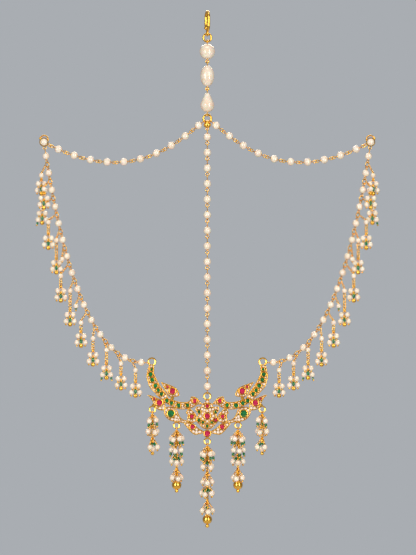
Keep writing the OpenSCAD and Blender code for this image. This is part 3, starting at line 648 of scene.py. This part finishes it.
def hangDrop(made, place, lean, row):
    gap, aside, behind, first, fall = row
    cfg = dropMaker
    point = Vector((place.x, 0, place.y))
    reach = jewel["linkRadius"]
    link = Matrix.Translation(point * mm) @ turned("Y", lean) @ turned("Z", -45) @ turned("X", 90)
    thin = Matrix.Diagonal((1, 1, cfg["wire"] / 2 / reach / ringWire, 1))
    made["gold"].append(putCopy("chainRing", link @ sized(reach) @ thin))
    tilt = math.radians(lean)
    start = point + reach * math.cos(math.pi / 4) * Vector((-math.cos(tilt), 1, math.sin(tilt)))
    head = point + Vector((aside, behind, -first))
    ringsAlong(made, start, head + Vector((0, 0, cfg["pearl"] * cfg["headTop"])),
               cfg["headRing"], cfg["headStep"], cfg["headTwist"])
    ballAt(made, "smallPearl", *head, cfg["pearl"])
    for side in (1, -1):
        ballAt(made, "goldTip", head.x, head.y, head.z + side * cfg["pearl"] * cfg["headTip"], cfg["tip"])

    def below(depth):
        return Vector((head.x, head.y, point.z - depth))
    under = below(first + cfg["pearl"] * 0.5)
    if fall < cfg["longFall"]:
        bead = below(fall - cfg["tip"] - cfg["glass"] * 0.5)
        wireAt(made, under, below(fall), cfg["wire"])
        ballAt(made, "glassBead", *bead, cfg["glass"])
        ballAt(made, "goldTip", *below(fall - cfg["tip"] / 2), cfg["tip"])
        return
    upperKnot = below(fall - cfg["upperRise"] - cfg["knotRise"])
    lowerKnot = below(fall - cfg["lowerRise"] - cfg["knotRise"])
    if (upperKnot - under).z < -cfg["leastChain"]:
        ringsAlong(made, under, upperKnot, cfg["ringRadius"], cfg["ringStep"], cfg["ringTwist"])
    wireAt(made, upperKnot, below(fall - cfg["ball"] / 2), cfg["coreWire"])
    lowerOrder = "none" if gap % 3 else "below"
    for knot, rise, spread, turn, order in (
            (upperKnot, cfg["upperRise"], cfg["upperSpread"], cfg["upperTurn"], "none"),
            (lowerKnot, cfg["lowerRise"], cfg["lowerSpread"], cfg["lowerTurn"], lowerOrder)):
        knotAt(made, knot, gap * cfg["knotTurn"])
        for side in (0, 180):
            a = math.radians(turn + side)
            pearl = below(fall - rise) + Vector((spread * math.cos(a), spread * math.sin(a), 0))
            hangPearl(made, knot, pearl, cfg["pearl"], order, cfg["tip"], cfg["pairGlass"])
    neck = Matrix.Translation(below(fall - cfg["ball"] - cfg["neckRise"]) * mm)
    size = Matrix.Diagonal((cfg["neckGlass"] * mm, cfg["neckGlass"] * mm, cfg["neckLength"] * mm, 1))
    made["glass"].append(putCopy("glassBead", neck @ size))
    ballAt(made, "goldBall", *below(fall - cfg["ball"] / 2), cfg["ball"])


# The tassels of one side and the middle, in mm: each hangs at a place from the flower's middle
tasselMaker = {
    # tiers: knot depth, pearl depth, spread, count, turn, where the glass beads are
    # beads on the core: depth, size, shape
    "outer": {"at": (-28.8, 3.5), "pearl": 2.9,
              "tiers": [(3.4, 5.6, 2.2, 3, 100, "below"), (8.9, 11.6, 2.7, 4, 30, "none"),
                        (17.2, 19.8, 2.6, 3, 0, "above")],
              "beads": [(20.9, 3.0, "smallPearl"), (23.1, 1.9, "goldBall"), (7.6, 1.7, "glassBead")]},
    "inner": {"at": (-16.1, -4.9), "pearl": 2.9,
              "tiers": [(4.4, 7.0, 3.0, 5, 15, "below"), (9.7, 12.9, 2.8, 5, 40, "below"),
                        (16.2, 19.0, 2.6, 4, 0, "above"), (25.0, 27.5, 2.5, 4, 20, "none")],
              "beads": [(20.6, 3.2, "smallPearl"), (31.3, 5.0, "goldBall"), (34.4, 1.9, "goldBall")]},
    "centre": {"at": (0, -13.3), "pearl": 2.9,
               "tiers": [(4.0, 6.6, 3.0, 5, 15, "below"), (9.2, 13.2, 3.0, 4, 40, "none"),
                         (18.4, 21.3, 2.4, 4, 0, "none"), (24.4, 27.3, 3.0, 5, 30, "above"),
                         (33.6, 36.4, 2.7, 4, 10, "none")],
               "beads": [(23.0, 3.0, "smallPearl"), (41.0, 5.0, "goldBall"), (44.4, 2.0, "goldBall"),
                         (11.4, 1.8, "glassBead"), (34.8, 1.8, "glassBead")]},
    "ringRadius": 1.6, "ringWire": 0.8, "strand": 0.5, "eye": 0.85,
    "chainRise": 2.6, "chainRing": 0.48, "chainStep": 0.92, "pearlTop": 1.2,
    "looseness": 0.1, "coreWire": 0.36, "coreRing": 0.72, "coreStep": 1.35, "leastChain": 0.8,
    "twist": 40, "stagger": 0.5, "tip": 1.05, "glass": 1.5, "tierEnd": 0.4,
}


def hangTassel(made, plan):
    cfg = tasselMaker
    across, up = plan["at"]
    middle = Vector((across, 0, jewel["flowerZ"] + up))
    eyeTop = cfg["looseness"] + (cfg["ringWire"] + cfg["strand"]) / 2 - cfg["ringRadius"]
    eye = cfg["eye"]
    hung = Matrix.Translation((middle + Vector((0, 0, eyeTop - eye))) * mm)
    made["gold"].append(putCopy("chainRing", hung @ turned("Z", 90) @ turned("X", 90) @ sized(eye)))

    def below(depth):
        return middle - Vector((0, 0, depth))
    last = max(depth for depth, size, key in plan["beads"])
    top = 2 * eye - eyeTop
    wireAt(made, below(top), below(last), cfg["coreWire"])
    for knotDepth, pearlDepth, spread, count, turn, order in plan["tiers"]:
        if knotDepth - top > cfg["leastChain"]:
            ringsAlong(made, below(top), below(knotDepth), cfg["coreRing"], cfg["coreStep"], cfg["twist"])
        knotAt(made, below(knotDepth), turn)
        chainTop = below(max(top, knotDepth - cfg["chainRise"]))
        for i in range(count):
            a = math.radians(turn + i * 360 / count)
            drop = cfg["stagger"] * (i % 2)
            pearl = below(pearlDepth + drop) + Vector((spread * math.cos(a), spread * math.sin(a), 0))
            ringsAlong(made, chainTop, pearl + Vector((0, 0, cfg["pearlTop"])),
                       cfg["chainRing"], cfg["chainStep"], cfg["twist"])
            hangPearl(made, below(knotDepth), pearl, plan["pearl"], order, cfg["tip"], cfg["glass"])
        top = pearlDepth + cfg["tierEnd"]
    for depth, size, key in plan["beads"]:
        ballAt(made, key, *below(depth), size)


def joinMade(prefix, made, side, node):
    for part, slot, label in (("pearl", "pearl", "Pearls"), ("gold", "gold", "Wires"),
                              ("glass", "emerald", "Glass")):
        if made[part]:
            piece = joinPieces(prefix + label + side, made[part])
            if side:
                finishPiece(mirrorPiece(piece, piece.name.replace("Left", "Right")), "jewel", slot,
                            node.replace("left", "right"))
            finishPiece(piece, "jewel", slot, node)


def makeDropsAndTassels():
    made = {"pearl": [], "gold": [], "glass": []}
    for row in dropMaker["strands"]:
        length = jewel["fringeFirst"] + (row[0] - 0.5) * jewel["fringePitch"]
        point, lean = routePlace(fringeRoute, length)
        hangDrop(made, point, lean, row)
    joinMade("fringeDrop", made, "Left", "fringe_drops_left")
    print("drops: 14 a side")
    for name, side, node in (("outer", "Left", "tassel_outer_left"), ("inner", "Left", "tassel_inner_left"),
                             ("centre", "", "tassel_centre")):
        made = {"pearl": [], "gold": [], "glass": []}
        hangTassel(made, tasselMaker[name])
        joinMade(name + "Tassel", made, side, node)
    print("tassels: 5")


makeDropsAndTassels()


# The left half of the plaque, in mm from the flower's middle: outlines as (across, up), stones and
# seats as (across, up, width)
plaqueMaker = {
    "outlines": [
        [(-30.5, 26.7), (-31.6, 23), (-31.9, 20.5), (-31.2, 18), (-30.3, 15.2), (-27.9, 12.6), (-25.6, 10.2),
         (-23, 8.2), (-20.4, 8.4), (-21.3, 11.3), (-22.7, 13.3), (-24.3, 15.4), (-25.8, 17.8), (-27.1, 20.4),
         (-28, 23), (-27.9, 26.7)],
        [(-23.4, 9.4), (-20.6, 9.2), (-17.4, 8.3), (-15.6, 7.7), (-13, 7.3), (-10.3, 7.5), (-8.9, 8.6),
         (-8.6, 10.2), (-6.8, 10.1), (-5.2, 9.4), (-4.2, 8.1), (-2.6, 6.2), (-4.4, 6.2), (-5.6, 5.8),
         (-7.4, 4.6), (-9.3, 3.9), (-11.9, 3.5), (-14.5, 3.6), (-16.8, 4.2), (-19.2, 5.3), (-21.4, 6.6),
         (-23.6, 7.6)],
        [(-22.8, 2.6), (-22.3, 0.5), (-21.1, -1.2), (-19.5, -2.3), (-17.6, -2.9), (-15, -3.2), (-12.5, -3.6),
         (-10.4, -4.1), (-9.8, -2.7), (-12.4, -2), (-14.2, -0.6), (-15.2, 1.5), (-16.4, 3.8), (-19.2, 4.9),
         (-21.6, 4.6)],
        [(-9.6, 4.2), (-11.3, 1.7), (-10.3, 0.8), (-10.5, -1.1), (-10.2, -3), (-8.2, -3.7), (-6.2, -2.9),
         (-5.2, -1.4), (-6.1, 1), (-7.6, 2.6)],
        [(-24.4, 17.9), (-22.6, 17.3), (-20.1, 16.5), (-17.5, 15.4), (-15.7, 13.9), (-14.7, 11.8),
         (-15.1, 10.4), (-17.5, 10.1), (-19.5, 9.9), (-20.8, 11.2), (-21.9, 13.1), (-23, 15.4)],
        [(-31.3, 11.1), (-29.2, 10.7), (-26.9, 9.7), (-24.8, 8.9), (-23, 7.6), (-22, 5.8), (-22.3, 3.2),
         (-24.3, 3), (-26.4, 3.7), (-27.7, 5.3), (-28.7, 7.6), (-29.9, 9.6)],
        [(-12.2, -4), (-11.2, -3.4), (-9.2, -3.5), (-6.6, -4.6), (-4.4, -6.6), (-1.4, -8.2), (-1.4, -8.8),
         (-4.3, -9.5), (-6.6, -9.8), (-8.7, -8.3), (-10.5, -6.2)],
    ],
    "flower": [(0, 7.2), (-2.5, 6.5), (-3.2, 4.6), (-5.9, 5), (-5.9, 2.6), (-4.6, 0.9), (-5.9, -1.2),
               (-5.6, -3), (-4.2, -4.4), (-2.6, -6.2), (0, -7)],
    "cutStones": [(-18.3, 13.1, 3.1), (-25.2, 6.9, 3.1), (-7.8, -5.6, 2.5), (-6.6, 7.9, 2.3),
                  (-8.1, -0.2, 2.2), (-19.1, 1.3, 3.6), (-20.9, 15.4, 1.3), (-27.9, 9.1, 1.3),
                  (-29.3, 24.5, 1.4), (-29.7, 21.9, 2.1), (-28.9, 19, 2.2), (-27.2, 15.9, 2.1),
                  (-25.7, 13.6, 1.9), (-24, 11.6, 1.9), (-21.2, 8.1, 1.9), (-18.7, 6.8, 2),
                  (-15.1, 5.6, 2.2), (-10.4, 5.7, 2), (-4.3, 2.3, 1.5), (-4.4, -2.1, 1.5),
                  (-2.3, -3.3, 1.3)],
    "middleStones": [(0, 0, 2.9), (0, 5.3, 1.9), (0, -9.2, 3.1), (0, -5.1, 1.5)],
    "seats": [(-30.7, 20.2, 0.9), (-27.4, 17.9, 0.8), (-16.6, 7, 0.8), (-13.1, 5.4, 1), (-8.1, 6.1, 0.9),
              (-9.9, 2.4, 0.9), (-8.4, -2.4, 0.9), (-14.6, -2, 0.9), (-2.1, 5.3, 1.1), (-4.4, 4.1, 1.1),
              (-2, -5, 1.1)],
    "middleSeats": [(0, 7.5, 1.2)],
    "oddStone": (4.4, -2.1, 1.5),  # on the right, a ruby where the left has an emerald
    "petals": 6, "petalOff": 2.75, "petal": 1.3,
    "rimTop": 1.2, "rimWire": 0.5, "rimInset": 0.27, "seatTop": 1.4, "colletTop": 2.0, "colletWall": 0.4,
    "floor": 0.5, "paveStep": 0.24, "paveWidth": 1.6, "paveLeast": 0.5, "paveLift": 0.42, "paveGap": 0.02,
    "roomInset": 0.42, "underRim": 0.2, "seatWall": 0.15, "rimPoints": 48, "flowerPoints": 64,
    "bezelOut": 0.22, "bezelSink": 0.06, "bezelHeight": 1.2, "seatTurn": 20, "paveTurn": 40,
}


def onPlaque(x, y, height):
    # the plaque's own plane: across, up, and out towards the front
    return Matrix.Translation(millimetres(x, -height, jewel["flowerZ"] + y)) @ turned("X", 90)


def closedCurve(points, count):
    # the points joined by a smooth closed curve, then spread evenly along it
    n = len(points)
    between = 8
    dense = []
    for i in range(n):
        a, b, c, d = (Vector(points[(i + k) % n]) for k in (-1, 0, 1, 2))
        for k in range(between):
            t = k / between
            dense.append(0.5 * (2 * b + (c - a) * t + (2 * a - 5 * b + 4 * c - d) * t * t
                                + (3 * b - a - 3 * c + d) * t ** 3))
    lengths = [(dense[(i + 1) % len(dense)] - p).length for i, p in enumerate(dense)]
    step = sum(lengths) / count
    evenly, run = [], 0.0
    for i, p in enumerate(dense):
        while run <= 0 and len(evenly) < count:
            evenly.append(p.lerp(dense[(i + 1) % len(dense)], max(0.0, (lengths[i] + run) / lengths[i] - 1)))
            run += step
        run -= lengths[i]
    return evenly


def areaOf(curve):
    return sum(a.x * b.y - b.x * a.y for a, b in zip(curve, curve[1:] + curve[:1])) / 2


def insetCurve(curve, by):
    turn = 1 if areaOf(curve) > 0 else -1
    moved = []
    for i, p in enumerate(curve):
        way = (curve[(i + 1) % len(curve)] - curve[i - 1]).normalized()
        moved.append(p + Vector((-way.y, way.x)) * by * turn)
    return moved


def insideCurve(curve, p):
    odd = False
    for a, b in zip(curve, curve[1:] + curve[:1]):
        if (a.y > p.y) != (b.y > p.y) and p.x < a.x + (p.y - a.y) / (b.y - a.y) * (b.x - a.x):
            odd = not odd
    return odd


def rimWire(name, curve, height):
    # a closed wire through the curve's points, from a circle with as many points
    selectOnly()
    bpy.ops.curve.primitive_bezier_circle_add(radius=mm)
    rim = bpy.context.object
    rim.name = name
    bpy.ops.object.mode_set(mode="EDIT")
    bpy.ops.curve.select_all(action="SELECT")
    bpy.ops.curve.subdivide(number_cuts=len(curve) // 4 - 1)
    bpy.ops.curve.spline_type_set(type="POLY")
    bpy.ops.object.mode_set(mode="OBJECT")
    for point, p in zip(rim.data.splines[0].points, curve):
        point.co = (p.x * mm, -height * mm, (jewel["flowerZ"] + p.y) * mm, 1)
    rim.data.dimensions = "3D"
    rim.data.bevel_depth = plaqueMaker["rimWire"] / 2 * mm
    rim.data.bevel_resolution = 1
    rim.data.use_fill_caps = False
    bpy.ops.object.convert(target="MESH")
    rim = bpy.context.object
    bpy.ops.object.shade_smooth()
    rim.data.materials.clear()
    rim.data.materials.append(gold)
    return rim


def paveInside(curve, taken):
    # white stones on the floor inside a rim: the widest that fit come first, then ever smaller ones
    cfg = plaqueMaker
    room = insetCurve(curve, cfg["roomInset"])
    step = cfg["paveStep"]
    low = Vector((min(p.x for p in room), min(p.y for p in room)))
    high = Vector((max(p.x for p in room), max(p.y for p in room)))
    fits = []
    for i in range(int((high.x - low.x) / step)):
        for k in range(int((high.y - low.y) / step)):
            p = low + Vector((i + 0.5, k + 0.5)) * step
            if insideCurve(room, p):
                near = min((p - Vector(t[:2])).length - t[2] / 2 for t in taken) - cfg["paveGap"]
                edge = min((p - q).length for q in room) + cfg["underRim"]
                width = min(cfg["paveWidth"], 2 * near, 2 * edge)
                if width >= cfg["paveLeast"]:
                    fits.append((width, p))
    placed = []
    for width, p in sorted(fits, key=lambda fit: -fit[0]):
        if all((p - q).length > (width + w) / 2 + cfg["paveGap"] for w, q in placed):
            placed.append((width, p))
    return [(p.x, p.y, width) for width, p in placed]


def bezelsAt(stones, top):
    # a round wire on the collet or seat of each stone
    cfg = plaqueMaker
    made = []
    for x, y, d in stones:
        r = d / 2 + cfg["bezelOut"]
        size = Matrix.Diagonal((r * mm, r * mm, cfg["bezelHeight"] * mm, 1))
        made.append(putCopy("bezel", onPlaque(x, y, top - cfg["bezelSink"]) @ size))
    return made


def polkiSeated(seats):
    cfg = plaqueMaker
    return [putCopy("polkiCut", onPlaque(x, y, cfg["seatTop"]) @ turned("Z", cfg["seatTurn"]) @ sized(d))
            for x, y, d in seats]


def polkiPaved(field):
    cfg = plaqueMaker
    height = cfg["floor"] + cfg["paveLift"]
    return [putCopy("polkiCut", onPlaque(x, y, height) @ turned("Z", cfg["paveTurn"] * i) @ sized(d))
            for i, (x, y, d) in enumerate(field)]


def makePlaque():
    cfg = plaqueMaker
    left = [closedCurve(points, cfg["rimPoints"]) for points in cfg["outlines"]]
    half = cfg["flower"]
    flower = closedCurve(half + [(-x, y) for x, y in reversed(half[1:-1])], cfg["flowerPoints"])
    angles = [math.radians(90 + 360 / cfg["petals"] * i) for i in range(cfg["petals"])]
    petals = [(cfg["petalOff"] * math.cos(a), cfg["petalOff"] * math.sin(a), cfg["petal"]) for a in angles]
    walls = [(x, y, d + 2 * cfg["colletWall"]) for x, y, d in cfg["cutStones"]]
    seats = [(x, y, d + 2 * cfg["seatWall"]) for x, y, d in cfg["seats"]]

    rims = [rimWire("rim", insetCurve(curve, cfg["rimInset"]), cfg["rimTop"]) for curve in left]
    made = joinPieces("plaqueRimsLeft", rims + bezelsAt(cfg["cutStones"], cfg["colletTop"]))
    finishPiece(mirrorPiece(made, "plaqueRimsRight"), "jewel", "gold")
    finishPiece(made, "jewel", "gold")
    print("plaque: rims and bezels")

    stones = polkiSeated(cfg["seats"])
    taken = walls + seats
    for curve in left:
        field = paveInside(curve, taken)
        taken += field
        stones += polkiPaved(field)
    made = joinPieces("plaquePolkiLeft", stones)
    finishPiece(mirrorPiece(made, "plaquePolkiRight"), "jewel", "pearl")
    finishPiece(made, "jewel", "pearl")

    rims = [rimWire("rim", insetCurve(flower, cfg["rimInset"]), cfg["rimTop"])]
    rims += bezelsAt(cfg["middleStones"], cfg["colletTop"]) + bezelsAt(petals, cfg["seatTop"])
    rims += bezelsAt([cfg["oddStone"]], cfg["colletTop"])
    finishPiece(joinPieces("flowerRim", rims), "jewel", "gold")
    stones = polkiSeated(petals + cfg["middleSeats"])
    taken = [(s * x, y, d) for x, y, d in walls + seats for s in (1, -1)]
    taken += [(x, y, d + 2 * cfg["colletWall"]) for x, y, d in cfg["middleStones"]] + petals
    stones += polkiPaved(paveInside(flower, taken))
    finishPiece(joinPieces("flowerPolki", stones), "jewel", "pearl")
    print("plaque: white stones")


makePlaque()


smoothing = {"mergeMm": 0.002, "sharpDegrees": 34}


def smoothCurved():
    # the CAD's curved faces are shaded smooth, its edges stay crisp
    tree = bpy.data.node_groups.new("smooth curved faces", "GeometryNodeTree")
    tree.interface.new_socket("Geometry", in_out="INPUT", socket_type="NodeSocketGeometry")
    tree.interface.new_socket("Geometry", in_out="OUTPUT", socket_type="NodeSocketGeometry")
    start = addNode(tree, "NodeGroupInput", (-600, 0))
    merged = addNode(tree, "GeometryNodeMergeByDistance", (-400, 0), {"Distance": smoothing["mergeMm"] * mm},
                     {"Geometry": start.outputs[0]})
    faces = addNode(tree, "GeometryNodeSetShadeSmooth", (-200, 0), {"Shade Smooth": True},
                    {"Geometry": merged.outputs[0]}, domain="FACE")
    angle = addNode(tree, "GeometryNodeInputMeshEdgeAngle", (-400, -200))
    sharp = addNode(tree, "FunctionNodeCompare", (-200, -200),
                    {"B": math.radians(smoothing["sharpDegrees"])},
                    {"A": angle.outputs["Unsigned Angle"]}, operation="GREATER_THAN")
    edges = addNode(tree, "GeometryNodeSetShadeSmooth", (0, 0), {"Shade Smooth": False},
                    {"Geometry": faces.outputs[0], "Selection": sharp.outputs[0]}, domain="EDGE")
    addNode(tree, "NodeGroupOutput", (200, 0), links={0: edges.outputs[0]})
    return tree


curvedFaces = smoothCurved()


def dress(node, material, curved=True):
    mesh = nodes[node].data
    if not mesh.materials:
        mesh.materials.append(material)
    for slot in nodes[node].material_slots:
        slot.material = material
    if curved:
        nodes[node].modifiers.new("smooth", "NODES").node_group = curvedFaces


def dressNodes():
    for name in nodes:
        if nodes[name].hide_render:
            continue
        if "ruby" in name or "rubies" in name:
            dress(name, ruby, curved=False)
        elif "emerald" in name:
            dress(name, emerald, curved=False)
        elif name == "plaque":
            dress(name, castGold)
        elif "pearl" in name and not name.endswith("_pin"):
            dress(name, nacre)
        else:
            dress(name, gold)
    print("CAD nodes dressed")


dressNodes()

for shape in shapes.values():
    bpy.data.objects.remove(shape)
